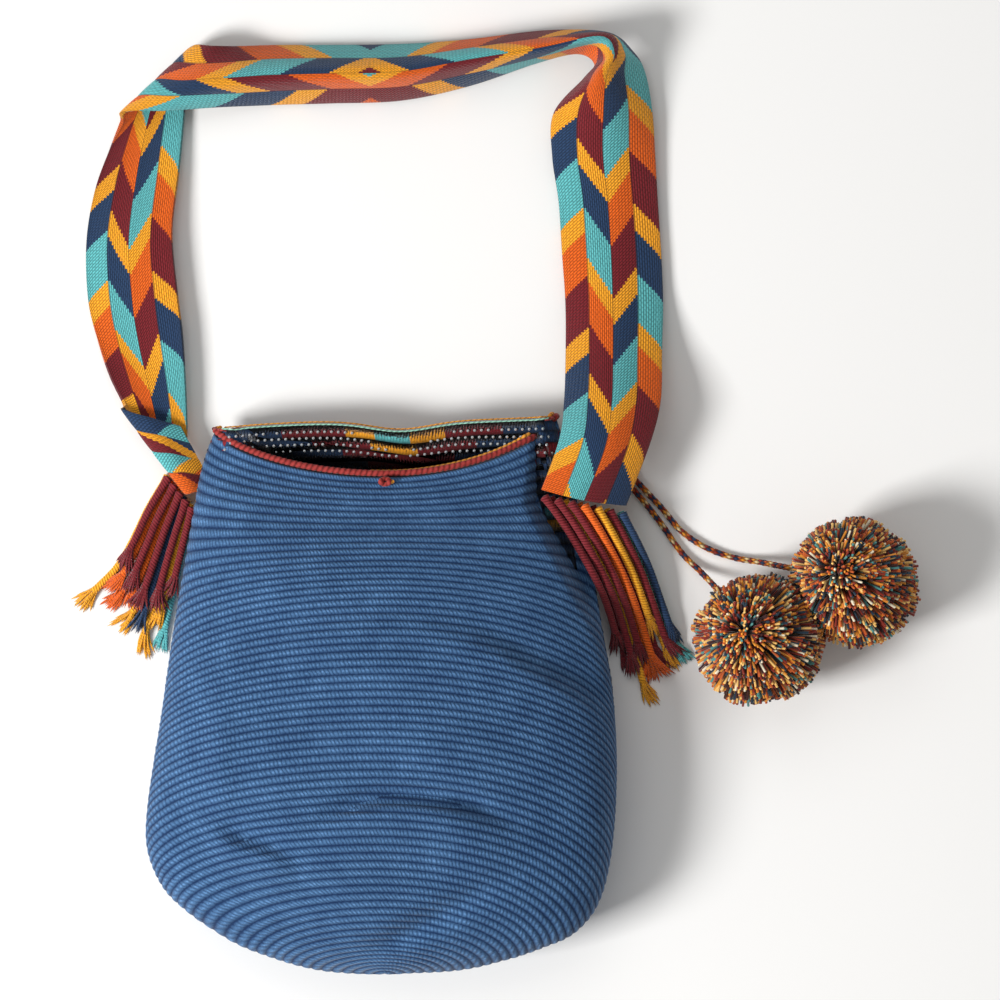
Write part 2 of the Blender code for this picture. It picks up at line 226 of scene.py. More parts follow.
def crease(x, y):
    """0 on the open front, 1 in the hollow that the strap end presses in."""
    edge = np.where(y > 130, 91 + (y - 130) * 0.11, 91 + (130 - y) * 0.53)
    return ramp((x - edge + 9) / 14) * ramp((y - 20) / 60)


def ridge(run, rise, low, high):
    """Section of a fold: it climbs slowly, drops sharply past its crest and comes back out of a hollow."""
    crest = np.where(run < 0, np.exp(-((run / low) ** 2)), np.exp(-((run / high) ** 2)))
    return rise * (crest - 0.8 * np.exp(-(((run - 1.9 * high) / (1.5 * high)) ** 2)))


def spot(x, y, x0, y0, wide, tall, tilt=0.0):
    """Round soft patch, 1 in its middle."""
    return np.exp(-(((x - x0) / wide) ** 2) - (((y - y0 - tilt * (x - x0)) / tall) ** 2))


def folds(x, y):
    """Soft folds and dents of the front skin."""
    # the full lower half ends in a shoulder that crosses the bag and sinks to the right
    shoulder = curve_at([(-140, 22), (-102, 39), (-10, 64), (51, 54), (90, 34), (129, 12), (140, 6)], x)
    drop = curve_at([(-140, 0.5), (-60, 2.5), (20, 3.5), (60, 8), (110, 10), (140, 5)], x)
    past = y - shoulder
    z = -drop * ramp((past + 10) / 19) * np.exp(-np.maximum(past, 0) / 42)
    # short sharp fold at the lower left, and the long arc over the edge of the base
    z += ridge(y + 77 + 0.30 * (x + 74), 5.5, 17, 5.0) * np.exp(-(((x + 76) / 21) ** 4))
    arc = -50 - 0.0068 * np.minimum(x - 8, 0) ** 2 - 0.0030 * np.maximum(x - 8, 0) ** 2
    z += ridge(y - arc, 7.5, 24, 4.5) * np.exp(-(((x - 18) / 48) ** 4))
    z += 3.0 * spot(x, y, -97, -28, 8, 34)
    z -= 6.5 * spot(x, y, 18, -122, 46, 9, 0.55)
    z -= 4.5 * spot(x, y, 14, 119, 34, 13)
    z += 2.6 * spot(x, y, -60, 86, 34, 16, 0.2) + 2.4 * spot(x, y, 40, -10, 40, 18, -0.2)
    z -= 2.6 * spot(x, y, -30, 12, 46, 12, 0.15)
    return z + 1.3 * np.sin(x / 31 + 0.6) * np.sin(y / 27 + x / 90) + 0.8 * np.sin(x / 17 + y / 23 + 1.3)


def front_z(x, y):
    flank, crown = curve_at(FLANK, y), curve_at(CROWN, y)
    deep = inside(x, y)
    z = flank + (crown - flank) * deep**0.72
    z = z + folds(x, y) * ramp(deep / 0.5) * ramp((y + 151.5) / 30) * ramp((152 - y) / 22)
    low = np.minimum(z, flank + 5)
    return z + (low - z) * crease(x, y)


def back_z(x, y):
    """The back lies flat on the table and lifts towards the mouth."""
    deep = inside(x, y)
    rise = ramp(deep / 0.55) * ramp((y + 151.5) / 26)
    return curve_at(FLANK, y) * (1 - rise) + 25 * ramp((y - 92) / 78) * ramp(deep / 0.45)


def flank_line(side):
    ys = -151.5 + 0.02 * np.arange(0, 200) ** 2.0
    top = 173.0 if side == 0 else 181.0
    ys = np.append(ys[ys < top], top)
    xs = outline_at(ys)[side]
    xs[0] = 0.0
    run = np.concatenate([[0], np.cumsum(np.hypot(np.diff(xs), np.diff(ys)))])
    return run, xs, ys


LEFT_LINE, RIGHT_LINE = flank_line(0), flank_line(1)


def skin(around, v, inset=0.0):
    """Points of the skin. v runs from the base centre to the rim.

    around runs 0..1 over the front from left to right, then 1..2 over the back.
    """
    around = np.mod(np.asarray(around, float), 2.0)
    v = np.asarray(v, float)
    front = around <= 1
    phi = np.pi * np.where(front, around, 2 - around)
    n = v * ROUND_COUNT
    ends = []
    for (run, xs, ys), column, total in ((LEFT_LINE, 1, 425), (RIGHT_LINE, 2, 437)):
        s = curve_at(ROUNDS, n, column) / total * run[-1]
        ends.append((np.interp(s, run, xs), np.interp(s, run, ys)))
    (lx, ly), (rx, ry) = ends
    my = np.where(front, curve_at(ROUNDS, n, 3), curve_at(ROUNDS, n, 4))
    c, s = np.cos(phi), np.sin(phi)
    mx = (lx + rx) / 2 * np.minimum(1.0, v / 0.3)
    x = mx + (np.where(c > 0, lx, rx) - mx) * np.abs(c)
    y = np.where(c > 0, ly, ry)
    y = y + (my - y) * np.maximum(s, 0) ** (1.0 + 0.5 * ramp((v - 0.75) / 0.25))
    z = np.where(front, front_z(x, y), back_z(x, y))
    y = y - np.where(front, 0, 5.0 * np.exp(-(((x - 9) / 26) ** 2)) * ramp((v - 0.86) / 0.14))
    deep = inside(x, y)
    z = z + inset * ramp((y + 151.5) / 26) * np.where(front, -ramp(deep / 0.4), ramp(deep / 0.55))
    return np.stack([x * (1 - inset / 139), 165 - (165 - y) * (1 - inset / 316), z], axis=-1)


# ---- mesh helpers ---------------------------------------------------------------------------
def lay_grid(bm, nx, ny, place, weave):
    """Grid whose points go where place(a, b) puts them, in millimetres, with weave(a, b) as its UV map."""
    uv = bm.loops.layers.uv.verify()
    new = bmesh.ops.create_grid(bm, x_segments=nx, y_segments=ny, size=1.0)["verts"]
    spots = np.array([v.co[:] for v in new])
    a, b = (spots[:, 0] + 1) / 2, (spots[:, 1] + 1) / 2
    sewn = dict(zip(new, zip(*weave(a, b))))
    faces = {f for v in new for f in v.link_faces}
    for f in faces:
        for loop in f.loops:
            loop[uv].uv = sewn[loop.vert]
    for v, p in zip(new, place(a, b) * MM):
        v.co = p
    return new, faces, a, b


def finish_mesh(name, bm, materials, weld=0.00002, smooth=True, turn=True):
    """Turns the bmesh into an object that rides on the bag."""
    bmesh.ops.remove_doubles(bm, verts=bm.verts, dist=weld)
    if turn:
        bmesh.ops.recalc_face_normals(bm, faces=bm.faces)
    mesh = bpy.data.meshes.new(name)
    bm.to_mesh(mesh)
    bm.free()
    mesh.shade_smooth() if smooth else mesh.shade_flat()
    obj = bpy.data.objects.new(name, mesh)
    bpy.context.scene.collection.objects.link(obj)
    for mat in materials:
        mesh.materials.append(mat)
    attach(obj, "root")
    return obj


def smooth_line(points, steps):
    """Catmull-Rom line through the points."""
    p = np.array(points, float)
    p = np.concatenate([p[:1], p, p[-1:]])
    t = np.arange(steps)[:, None] / steps
    out = []
    for a, b, c, d in zip(p, p[1:], p[2:], p[3:]):
        out.append(
            0.5 * (2 * b + (c - a) * t + (2 * a - 5 * b + 4 * c - d) * t**2 + (3 * b - a - 3 * c + d) * t**3)
        )
    return np.concatenate(out + [p[-1:]])


def frames_on(line, closed=False):
    """Side and up directions carried along a line without twisting."""
    ahead = np.roll(line, -1, 0) - np.roll(line, 1, 0) if closed else np.gradient(line, axis=0)
    ahead /= np.linalg.norm(ahead, axis=1)[:, None] + 1e-12
    up, sides, ups = np.array([0.12, 0.2, 1.0]), [], []
    for d in ahead:
        side = np.cross(d, up)
        side /= np.linalg.norm(side) + 1e-12
        up = np.cross(side, d)
        sides.append(side)
        ups.append(up)
    return np.array(sides), np.array(ups)


def tube(bm, line, radius, around, closed=False):
    """Round skin on a line. radius(theta, run) is in millimetres and run is the length so far."""
    sides, ups = frames_on(line, closed)
    run = np.concatenate([[0], np.cumsum(np.linalg.norm(np.diff(line, axis=0), axis=1))])
    n = len(line) - 1

    def place(a, b):
        j = np.clip(np.rint(b * n).astype(int), 0, n)
        theta = 2 * np.pi * a
        r = radius(theta, run[j])
        if not closed:
            r = np.where((j == 0) | (j == n), 0.0, r)
        return line[j] + r[:, None] * (sides[j] * np.cos(theta)[:, None] + ups[j] * np.sin(theta)[:, None])

    return lay_grid(bm, around, n, place, lambda a, b: (a, run[np.rint(b * n).astype(int)]))[1]


def rope_radius(diameter, plies, pitch):
    """Skin of a twisted cord: each ply is a lobe that winds round the line."""
    def radius(theta, run):
        lobe = np.abs(np.cos(plies / 2 * (theta - 2 * np.pi * run / pitch)))
        return diameter / 2 * (0.80 + 0.20 * lobe**0.7)
    return radius


def resample(line, gap):
    """The same line with points a gap apart."""
    run = np.concatenate([[0], np.cumsum(np.linalg.norm(np.diff(line, axis=0), axis=1))])
    s = np.linspace(0, run[-1], max(2, int(run[-1] / gap) + 1))
    return np.stack([np.interp(s, run, line[:, k]) for k in range(3)], axis=1)


# ---- materials --------------------------------------------------------------------------------
def add(tree, kind, inputs=(), out=0, stops=(), hard=False, **settings):
    """Adds a node with its settings and links. inputs are values or sockets, by place or by name."""
    node = tree.nodes.new("ShaderNode" + kind)
    for key, value in settings.items():
        setattr(node, key, value)
    for k, (place, colour) in enumerate(stops):
        element = node.color_ramp.elements[k] if k < 2 else node.color_ramp.elements.new(1.0)
        element.position = place
        element.color = (*colour[:3], 1.0)
    if hard:
        node.color_ramp.interpolation = "CONSTANT"
    for key, value in inputs.items() if isinstance(inputs, dict) else enumerate(inputs):
        socket = node.inputs[key]
        if isinstance(value, bpy.types.NodeSocket):
            tree.links.new(value, socket)
        else:
            socket.default_value = (*value[:3], 1.0) if socket.type == "RGBA" else value
    return node if out is None else node.outputs[out]


def new_material(name, rough, sheen=0.0):
    """Matt material. Returns the material, its tree and its shader."""
    mat = bpy.data.materials.new(name)
    mat.use_nodes = True
    shader = mat.node_tree.nodes["Principled BSDF"]
    shader.inputs["Roughness"].default_value = rough
    shader.inputs["Specular IOR Level"].default_value = 0.25
    shader.inputs["Sheen Weight"].default_value = sheen
    shader.inputs["Sheen Roughness"].default_value = 0.4
    return mat, mat.node_tree, shader


def weave_round(a, b):
    """UV of the crochet: share of the way round, near its true length on the flat pouch, and of the height."""
    half = np.floor(2 * a - 1e-9)
    flat = half / 2 + (1 - np.cos(2 * np.pi * (a - half / 2))) / 4
    return 0.85 * flat + 0.15 * a, b


def crochet(name, yarn, groove_shade, stitches):
    """Matt acrylic yarn in tight single crochet: rounds of short slanted strokes, with painted shade in the groove
    under each round and a painted highlight on the stroke crests.
    """
    mat, tree, shader = new_material(name, 0.88, 0.12)
    split = add(tree, "SeparateXYZ", (add(tree, "UVMap"),), None)
    rows = add(tree, "Math", (split.outputs[1], ROUND_COUNT), operation="MULTIPLY")
    number = add(tree, "Math", (rows,), operation="FLOOR")
    in_round = add(tree, "Math", (rows,), operation="FRACT")
    # the base gains stitches with every round until it is as wide as the wall
    count = add(tree, "Math", (number, stitches / 24, 8.0), operation="MULTIPLY_ADD")
    count = add(tree, "Math", (count, float(stitches)), operation="MINIMUM")
    place = add(tree, "TexCoord", out=3)
    wander = add(tree, "TexNoise", {0: place, "Scale": 190.0, "Detail": 1.0})
    along = add(
        tree, "Math", (add(tree, "Math", (count,), operation="ROUND"), split.outputs[0]), operation="MULTIPLY"
    )
    along = add(tree, "Math", (number, 0.37, along), operation="MULTIPLY_ADD")
    along = add(tree, "Math", (in_round, 0.95, along), operation="MULTIPLY_ADD")
    along = add(tree, "Math", (wander, 0.9, along), operation="MULTIPLY_ADD")
    in_stitch = add(tree, "Math", (along,), operation="FRACT")
    bead = add(
        tree, "Math", (add(tree, "Math", (in_stitch, math.pi), operation="MULTIPLY"),), operation="SINE"
    )
    bead = add(tree, "Math", (bead, 0.8), operation="POWER")
    rib = add(tree, "Math", (add(tree, "Math", (in_round, math.pi), operation="MULTIPLY"),), operation="SINE")
    rib = add(tree, "Math", (rib, 0.9), operation="POWER")
    plies = add(tree, "TexNoise", {0: place, "Scale": 760.0, "Detail": 3.0})
    patch = add(tree, "TexNoise", {0: place, "Scale": 60.0, "Detail": 3.0})
    stroke = add(tree, "Math", (bead, 0.5, 0.42), operation="MULTIPLY_ADD")
    height = add(tree, "Math", (rib, stroke), operation="MULTIPLY")
    # painted light: the relief height goes into the colour, so the grooves between rounds get painted shade and
    # the stroke crests a painted highlight; the noise adds random yarn tone
    shade_and_tone = add(
        tree, "Math", (plies, 0.75, add(tree, "Math", (patch, 0.45, -0.62), operation="MULTIPLY_ADD")),
        operation="MULTIPLY_ADD",
    )
    shade_and_tone = add(tree, "Math", (height, shade_and_tone), operation="ADD")
    middle = tuple(0.55 * a + 0.45 * b for a, b in zip(yarn, groove_shade))
    painted_highlight = tuple(min(1.0, c * 1.5 + 0.02) for c in yarn)
    colour = add(tree, "ValToRGB", (shade_and_tone,), stops=[(0.08, groove_shade), (0.5, middle), (0.82, yarn), (1.0, painted_highlight)])
    lift = add(tree, "Math", (plies, 0.35, height), operation="MULTIPLY_ADD")
    bump = add(tree, "Bump", {"Strength": 0.8, "Distance": 0.8 * MM, "Height": lift})
    tree.links.new(colour, shader.inputs["Base Color"])
    tree.links.new(bump, shader.inputs["Normal"])
    return mat, tree, shader, split, number, shade_and_tone, colour


def tapestry(yarn, groove_shade, stitches):
    """The same crochet in five colours: nested steps that point down from the middle of the back rim."""
    mat, tree, shader, split, number, shade_and_tone, plain = crochet(
        "tapestry_crochet_acrylic", yarn, groove_shade, stitches
    )
    step = add(
        tree, "Math", (add(tree, "Math", (split.outputs[0], stitches / 2), operation="MULTIPLY"),),
        operation="FLOOR",
    )
    beside = add(tree, "Math", (step, 2 / stitches, -BAND_MIDDLE), operation="MULTIPLY_ADD")
    beside = add(
        tree, "Math", (add(tree, "Math", (beside,), operation="ABSOLUTE"), BAND_AROUND * BAND_SLOPE),
        operation="MULTIPLY",
    )
    below = add(tree, "Math", (number, -BAND_ROUND, ROUND_COUNT * BAND_ROUND), operation="MULTIPLY_ADD")
    depth = add(tree, "Math", (beside, below), operation="ADD")
    share = add(tree, "Math", (depth, 60.0), operation="DIVIDE")
    shade = add(tree, "ValToRGB", (share,), hard=True, stops=[
        (0.0, TURQUOISE), (0.10, AMBER), (0.175, MAROON), (0.31, NAVY), (0.50, MAROON),
        (0.57, NAVY), (0.82, TURQUOISE), (0.87, AMBER)])
    # painted light: the pattern colours take the same painted shade in the grooves and painted highlight on the
    # crests as the plain crochet
    light = add(tree, "Math", (shade_and_tone, 1.1, 0.35), operation="MULTIPLY_ADD")
    worked = add(tree, "Mix", {0: 1.0, 6: shade, 7: light}, 2, data_type="RGBA", blend_type="MULTIPLY")
    in_band = add(tree, "Math", (depth, BAND_DEPTH), operation="LESS_THAN")
    both = add(tree, "Mix", {0: in_band, 6: plain, 7: worked}, 2, data_type="RGBA")
    tree.links.new(both, shader.inputs["Base Color"])
    return mat


def twisted_yarn(name, colour, pitch=5.4, plies=3):
    """Plied acrylic yarn twisted into a cord: soft and matt, with painted shade where the plies meet and a painted
    highlight on each ply.
    """
    mat, tree, shader = new_material(name, 0.8, 0.2)
    split = add(tree, "SeparateXYZ", (add(tree, "UVMap"),), None)
    back = add(tree, "Math", (split.outputs[1], -1 / pitch), operation="MULTIPLY")
    turn = add(tree, "Math", (split.outputs[0], back), operation="ADD")
    lobe = add(
        tree, "Math", (add(tree, "Math", (turn, math.pi * plies), operation="MULTIPLY"),), operation="COSINE"
    )
    lobe = add(tree, "Math", (lobe,), operation="ABSOLUTE")
    fibre = add(
        tree, "Math", (add(tree, "Math", (turn, 8 * math.pi * plies), operation="MULTIPLY"),),
        operation="SINE",
    )
    place = add(tree, "TexCoord", out=3)
    fuzz = add(tree, "TexNoise", {0: place, "Scale": 520.0, "Detail": 3.0})
    # painted light: the ply lobes set the colour, with painted shade where the plies meet and a painted highlight
    # on their crests; fibre and noise add yarn texture and tone
    shade_and_tone = add(tree, "Math", (lobe, 0.62, -0.12), operation="MULTIPLY_ADD")
    shade_and_tone = add(tree, "Math", (fibre, 0.06, shade_and_tone), operation="MULTIPLY_ADD")
    shade_and_tone = add(tree, "Math", (fuzz, 0.75, shade_and_tone), operation="MULTIPLY_ADD")
    ply_gap_shade = tuple(c * 0.30 for c in colour)
    painted_highlight = tuple(min(1.0, c * 1.45 + 0.015) for c in colour)
    shade = add(tree, "ValToRGB", (shade_and_tone,), stops=[(0.12, ply_gap_shade), (0.6, colour), (1.0, painted_highlight)])
    lift = add(tree, "Math", (lobe, 0.8, fuzz), operation="MULTIPLY_ADD")
    bump = add(tree, "Bump", {"Strength": 0.8, "Distance": 0.4 * MM, "Height": lift})
    tree.links.new(shade, shader.inputs["Base Color"])
    tree.links.new(bump, shader.inputs["Normal"])
    return mat


def woven_band(cycle, stitch, middle, width):
    """Warp-faced band of acrylic yarn: four lanes of slanted colour blocks in short floats, with stepped edges."""
    mat, tree, shader = new_material("warp_faced_woven_acrylic", 0.78, 0.2)
    split = add(tree, "SeparateXYZ", (add(tree, "UVMap"),), None)
    across, run = split.outputs[0], split.outputs[1]
    lane_at = add(tree, "Math", (across, 4 / width), operation="MULTIPLY")
    lane = add(tree, "Math", (lane_at,), operation="FLOOR")
    lane = add(tree, "Math", (lane, 3.0), operation="MINIMUM")
    odd = add(tree, "Math", (lane, 2.0), operation="MODULO")
    from_mid = add(tree, "Math", (run, middle), operation="SUBTRACT")
    from_mid = add(tree, "Math", (from_mid,), operation="ABSOLUTE")
    # floats run along the band in every second lane and on a slant in the others
    diagonal = math.sqrt(0.5)
    lean_x = add(tree, "Math", (across, from_mid), operation="ADD")
    lean_x = add(tree, "Math", (lean_x, diagonal), operation="MULTIPLY")
    lean_y = add(tree, "Math", (from_mid, across), operation="SUBTRACT")
    lean_y = add(tree, "Math", (lean_y, diagonal), operation="MULTIPLY")
    cx = add(tree, "Mix", {0: odd, 2: lean_x, 3: across}, data_type="FLOAT")
    cy = add(tree, "Mix", {0: odd, 2: lean_y, 3: from_mid}, data_type="FLOAT")
    column = add(tree, "Math", (cx, WARP_GAP), operation="DIVIDE")
    number = add(tree, "Math", (column,), operation="FLOOR")
    along = add(tree, "Math", (cy, stitch), operation="DIVIDE")
    along = add(tree, "Math", (number, 0.5, along), operation="MULTIPLY_ADD")
    rib = add(tree, "Math", (column,), operation="FRACT")
    rib = add(tree, "Math", (rib, math.pi), operation="MULTIPLY")
    rib = add(tree, "Math", (rib,), operation="SINE")
    rib = add(tree, "Math", (rib, 0.6), operation="POWER")
    float_up = add(tree, "Math", (along,), operation="FRACT")
    float_up = add(tree, "Math", (float_up, math.pi), operation="MULTIPLY")
    float_up = add(tree, "Math", (float_up,), operation="SINE")
    float_up = add(tree, "Math", (float_up, 0.5), operation="POWER")
    float_up = add(tree, "Math", (float_up, 0.7, 0.3), operation="MULTIPLY_ADD")
    height = add(tree, "Math", (rib, float_up), operation="MULTIPLY")
    # colour blocks: every lane starts its run of colours somewhere else and slants its own way
    edge = add(tree, "Math", (across, STEP), operation="DIVIDE")
    edge = add(tree, "Math", (edge,), operation="FLOOR")
    edge = add(tree, "Math", (edge, STEP), operation="MULTIPLY")
    in_lane = add(tree, "Math", (edge, 4 / width), operation="MULTIPLY")
    in_lane = add(tree, "Math", (in_lane, lane), operation="SUBTRACT")
    offset, slant = 0.0, 0.0
    for k, (near, far) in enumerate(LANE_STARTS):
        here = add(tree, "Math", (lane, float(k), 0.1), operation="COMPARE")
        offset = add(tree, "Math", (here, LANE_UNIT * near, offset), operation="MULTIPLY_ADD")
        slant = add(tree, "Math", (here, LANE_UNIT * (far - near), slant), operation="MULTIPLY_ADD")
    base = add(tree, "Math", (in_lane, slant, offset), operation="MULTIPLY_ADD")
    phase = add(tree, "Math", (from_mid, RUN_START - middle), operation="ADD")
    phase = add(tree, "Math", (phase, base), operation="SUBTRACT")
    phase = add(tree, "Math", (phase, cycle), operation="DIVIDE")
    phase = add(tree, "Math", (phase, 8.0), operation="ADD")
    phase = add(tree, "Math", (phase,), operation="FRACT")
    blocks = add(tree, "ValToRGB", (phase,), hard=True, stops=[
        (0.0, AMBER), (0.11, NAVY), (0.29, TURQUOISE), (0.50, AMBER), (0.60, ORANGE), (0.78, MAROON)])
    fuzz = add(tree, "TexNoise", {0: add(tree, "TexCoord", out=3), "Scale": 600.0, "Detail": 2.0})
    # painted shade: the float relief darkens the colour between warp yarns and at the ends of the floats; the
    # noise adds yarn tone
    shade_and_tone = add(tree, "Math", (height, 0.85, 0.16), operation="MULTIPLY_ADD")
    shade_and_tone = add(tree, "Math", (fuzz, 0.5, shade_and_tone), operation="MULTIPLY_ADD")
    colour = add(tree, "Mix", {0: 1.0, 6: blocks, 7: shade_and_tone}, 2, data_type="RGBA", blend_type="MULTIPLY")
    # a thin dark line where two lanes meet
    seam = add(tree, "Math", (lane_at,), operation="FRACT")
    seam = add(tree, "Math", (seam, 0.5), operation="SUBTRACT")
    seam = add(tree, "Math", (seam,), operation="ABSOLUTE")
    seam = add(tree, "Math", (seam, 0.475), operation="GREATER_THAN")
    seam = add(tree, "Math", (seam, 0.35), operation="MULTIPLY")
    colour = add(tree, "Mix", {0: seam, 6: colour, 7: (0.01, 0.01, 0.015)}, 2, data_type="RGBA")
    lift = add(tree, "Math", (fuzz, 0.2, height), operation="MULTIPLY_ADD")
    bump = add(tree, "Bump", {"Strength": 0.9, "Distance": 0.6 * MM, "Height": lift})
    tree.links.new(colour, shader.inputs["Base Color"])
    tree.links.new(bump, shader.inputs["Normal"])
    return mat


def braid():
    """Four-colour round braid: short diamonds of yarn that change colour from strand to strand."""
    mat, tree, shader = new_material("round_braid_acrylic", 0.75, 0.2)
    split = add(tree, "SeparateXYZ", (add(tree, "UVMap"),), None)
    around = add(tree, "Math", (split.outputs[0], 4.0), operation="MULTIPLY")
    run = add(tree, "Math", (split.outputs[1], BRAID_PITCH), operation="DIVIDE")
    key, heights = 20.0, []
    for way, weight in (("ADD", 0.37), ("SUBTRACT", 0.61)):
        strand = add(tree, "Math", (around, run), operation=way)
        number = add(tree, "Math", (strand,), operation="FLOOR")
        key = add(tree, "Math", (number, weight, key), operation="MULTIPLY_ADD")
        bead = add(tree, "Math", (strand,), operation="FRACT")
        bead = add(tree, "Math", (bead, math.pi), operation="MULTIPLY")
        heights.append(add(tree, "Math", (bead,), operation="SINE"))
    key = add(tree, "Math", (key,), operation="FRACT")
    shade = add(tree, "ValToRGB", (key,), hard=True, stops=[
        (0.0, linear("#8a2a1e")), (0.24, linear("#d98a28")), (0.44, NAVY), (0.64, linear("#e3c590")),
        (0.8, linear("#b5521b"))])
    height = add(tree, "Math", heights, operation="MULTIPLY")
    # painted shade: the colour darkens where the braid's strands dip between the diamonds
    light = add(tree, "Math", (height, 0.75, 0.35), operation="MULTIPLY_ADD")
    colour = add(tree, "Mix", {0: 1.0, 6: shade, 7: light}, 2, data_type="RGBA", blend_type="MULTIPLY")
    bump = add(tree, "Bump", {"Strength": 0.9, "Distance": 0.6 * MM, "Height": height})
    tree.links.new(colour, shader.inputs["Base Color"])
    tree.links.new(bump, shader.inputs["Normal"])
    return mat


def cut_yarn():
    """Cut ends of mixed acrylic yarn: a colour for every strand, with painted shade at the root and a painted
    highlight at the open tip.
    """
    mat, tree, shader = new_material("cut_acrylic_yarn_mixed", 0.62, 0.3)
    strand = add(tree, "Attribute", out=2, attribute_name="strand")
    reach = add(tree, "Attribute", out=2, attribute_name="reach")
    shade = add(tree, "ValToRGB", (strand,), hard=True, stops=[
        (0.0, linear("#7c2414")), (0.17, linear("#b4521c")), (0.33, linear("#d08428")), (
            0.50, linear("#e3b467")
        ),
        (0.64, linear("#3a1512")), (0.76, linear("#1d3140")), (0.87, linear("#4b8480")),
        (0.94, linear("#dcd0b4"))])
    # painted light: the colour is multiplied by the reach along each strand, which paints shade near the tied
    # heart and a painted highlight on the open tips
    light = add(
        tree, "Math", (add(tree, "Math", (reach, 2.6), operation="POWER"), 1.25, 0.07),
        operation="MULTIPLY_ADD",
    )
    colour = add(
        tree, "Mix", {0: 1.0, 6: shade, 7: light}, 2, data_type="RGBA", blend_type="MULTIPLY",
        clamp_result=False,
    )
    tree.links.new(colour, shader.inputs["Base Color"])
    return mat


def stud_metal():
    """Small silvered glass studs: bright, hard glints on the matt yarn."""
    mat, tree, shader = new_material("silvered_glass_stud", 0.16)
    shader.inputs["Metallic"].default_value = 0.75
    shine = add(tree, "TexNoise", {0: add(tree, "TexCoord", out=3), "Scale": 300.0})
    shade = add(tree, "Mix", {0: shine, 6: linear("#ffffff"), 7: linear("#cfd8de")}, 2, data_type="RGBA")
    tree.links.new(shade, shader.inputs["Base Color"])
    return mat


# ---- routes, in millimetres ---------------------------------------------------------------------
# inner edge, middle, outer edge of the strap, from the right root to the left one
STRAP = [
    ((94, 138, 42), (119, 132, 42), (144, 129, 30)),
    ((105, 168, 40), (132, 165, 45), (159, 168, 34)),
    ((108, 192, 30), (136, 192, 36), (165, 192, 26)),
    ((109, 222, 16), (137, 222, 22), (166, 222, 14)),
    ((109, 252, 8), (137, 252, 13), (167, 252, 6)),
    ((107, 282, 6), (136, 282, 11), (166, 282, 5)),
    ((105, 312, 6), (134, 312, 12), (164, 312, 5)),
    ((101, 340, 9), (131, 340, 17), (162, 340, 6)),
    ((102, 365, 15), (131, 366, 27), (160, 367, 8)),
    ((120, 384, 25), (132, 386, 38), (156, 390, 8)),
    ((127, 394, 23), (137, 399, 40), (149, 402, 8)),
    ((116, 402, 12), (129, 409, 38), (134, 413, 6)),
    ((90, 397, 5), (94, 403, 33), (98, 415, 4)),
    ((50, 384, 3), (50, 396, 31), (50, 410, 3)),
    ((9, 375, 3), (9, 389, 30), (9, 407, 3)),
    ((-33, 373, 3), (-33, 388, 29), (-33, 406, 3)),
    ((-70, 372, 5), (-69, 387, 28), (-68, 406, 4)),
    ((-104, 370, 15), (-98, 385, 28), (-90, 405, 14)),
    ((-134, 367, 19), (-121, 384, 24), (-105, 405, 19)),
    ((-158, 366, 14), (-137, 385, 15), (-115, 405, 14)),
    ((-160, 360, 6), (-140, 378, 6), (-120, 398, 6)),
    ((-167, 345, 3), (-146, 352, 4), (-122, 366, 5)),
    ((-176, 320, 4), (-151, 324, 6), (-125, 332, 8)),
    ((-181, 288, 4), (-155, 288, 10), (-129, 294, 12)),
    ((-180, 252, 4), (-153, 252, 9), (-126, 258, 12)),
    ((-174, 228, 6), (-149, 226, 8), (-123, 234, 12)),
    ((-166, 206, 11), (-143, 200, 10), (-121, 205, 12)),
    ((-158, 190, 13), (-138, 176, 12), (-120, 172, 12)),
    ((-158, 187, 17), (-140, 163, 16), (-121, 139, 15)),
    ((-144, 182, 19), (-129, 160, 18), (-114, 137, 16)),
    ((-124, 176, 14), (-113, 156, 12), (-103, 136, 9)),
]
STRAP_WIDTH = 62.0
# edges of the two fans of warp ends, in equal steps away from the strap
LEFT_FAN = (
    [(-131.5, 147), (-143.5, 127.5), (-153, 108), (-163, 91), (-178, 76)],
    [(-116.8, 128), (-122.5, 105), (-128, 82), (-133.5, 57), (-140, 32)],
)
RIGHT_FAN = (
    [(95, 134.5), (107, 118), (119, 98), (130.5, 76), (138, 54), (143, 33), (147, 12)],
    [(142, 124.5), (151, 108), (159, 91), (165.5, 73), (172, 55), (179, 38), (186, 22)],
)
# layer, lane across the fan, length in steps of the fan, colour
LEFT_FRINGE = [
    (0, 0.00, 3.95, "amber"), (0, 0.25, 3.30, "orange"), (0, 0.50, 3.45, "amber"),
    (0, 0.75, 3.55, "amber"), (0, 1.00, 3.10, "turquoise"),
    (1, 0.13, 3.00, "orange"), (1, 0.38, 2.95, "orange"), (1, 0.63, 3.20, "navy"),
    (1, 0.88, 2.75, "amber"),
    (2, 0.04, 2.30, "maroon"), (2, 0.28, 2.60, "maroon"), (2, 0.52, 2.75, "maroon"),
    (2, 0.76, 2.45, "maroon"), (2, 1.00, 1.90, "maroon"),
]
RIGHT_FRINGE = [
    (0, 0.08, 4.55, "maroon"), (0, 0.26, 5.60, "amber"), (0, 0.44, 5.00, "orange"),
    (0, 0.61, 4.70, "maroon"), (0, 0.79, 4.75, "amber"), (0, 0.97, 4.55, "turquoise"),
    (1, 0.00, 4.10, "maroon"), (1, 0.17, 4.75, "maroon"), (1, 0.34, 4.45, "maroon"),
    (1, 0.51, 4.90, "orange"), (1, 0.68, 3.70, "amber"), (1, 0.84, 4.35, "maroon"),
    (1, 1.00, 3.95, "navy"),
]
